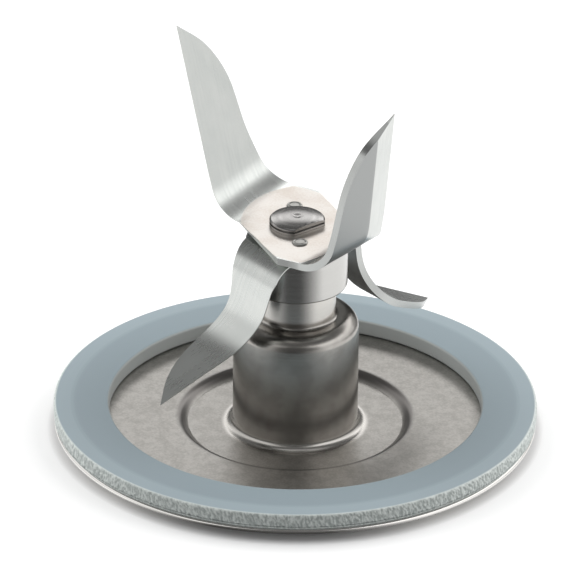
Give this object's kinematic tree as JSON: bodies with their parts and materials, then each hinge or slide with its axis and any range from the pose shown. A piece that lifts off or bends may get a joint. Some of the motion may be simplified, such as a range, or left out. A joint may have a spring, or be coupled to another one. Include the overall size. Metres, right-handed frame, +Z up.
{
  "type": "blender blade assembly",
  "caption": "Round steel base plate with a rubber seal ring and a bearing tower that carries bent upper and lower cutting blades on a driven shaft.",
  "frame": {"origin": "on the shaft axis, in the plane that the plate's sunken floor rests on", "axes": "+Z up along the shaft; -X is the heading of the upper arm that leans out further"},
  "size_m": [0.1, 0.1, 0.0822],
  "materials": {
    "drawn_plate_steel": "drawn and tumbled stainless sheet, satin",
    "gasket_silicone": "matte moulded silicone, blue-grey",
    "blade_steel": "polished stainless sheet with fine grain",
    "turned_steel": "turned stainless bar",
    "rivet_steel": "pressed steel",
    "bearing_steel": "ground bearing steel",
    "spring_steel": "phosphated spring steel",
    "seal_rubber": "black nitrile rubber"
  },
  "bodies": {
    "housing": {"base_plate": "drawn_plate_steel", "gasket": "gasket_silicone", "lip_seal": "seal_rubber", "bearing_sleeve": "turned_steel", "circlip": "spring_steel", "outer_spacer": "bearing_steel", "upper_outer_ring": "bearing_steel", "upper_shields": "bearing_steel", "lower_outer_ring": "bearing_steel", "lower_shields": "bearing_steel"},
    "rotor": {"shaft": "turned_steel", "upper_blade": "blade_steel", "lower_blade": "blade_steel", "blade_rivets": "rivet_steel", "blade_collar": "turned_steel", "drive_coupling": "turned_steel", "inner_spacer": "bearing_steel", "upper_inner_ring": "bearing_steel", "lower_inner_ring": "bearing_steel"},
    "upper_ball_set": {"upper_balls": "bearing_steel", "upper_ball_cage": "spring_steel"},
    "lower_ball_set": {"lower_balls": "bearing_steel", "lower_ball_cage": "spring_steel"}
  },
  "joints": [
    {"name": "rotor_spin", "type": "hinge", "parent": "housing", "child": "rotor", "pos_m": [0, 0, 0], "axis": [0, 0, 1], "continuous": true},
    {"name": "upper_ball_orbit", "type": "hinge", "parent": "housing", "child": "upper_ball_set", "pos_m": [0, 0, 0], "axis": [0, 0, 1], "continuous": true},
    {"name": "lower_ball_orbit", "type": "hinge", "parent": "housing", "child": "lower_ball_set", "pos_m": [0, 0, 0], "axis": [0, 0, 1], "continuous": true}
  ],
  "couplings": [
    {"joint": "upper_ball_orbit", "follows": "rotor_spin", "ratio": 0.38889},
    {"joint": "lower_ball_orbit", "follows": "rotor_spin", "ratio": 0.38889}
  ]
}
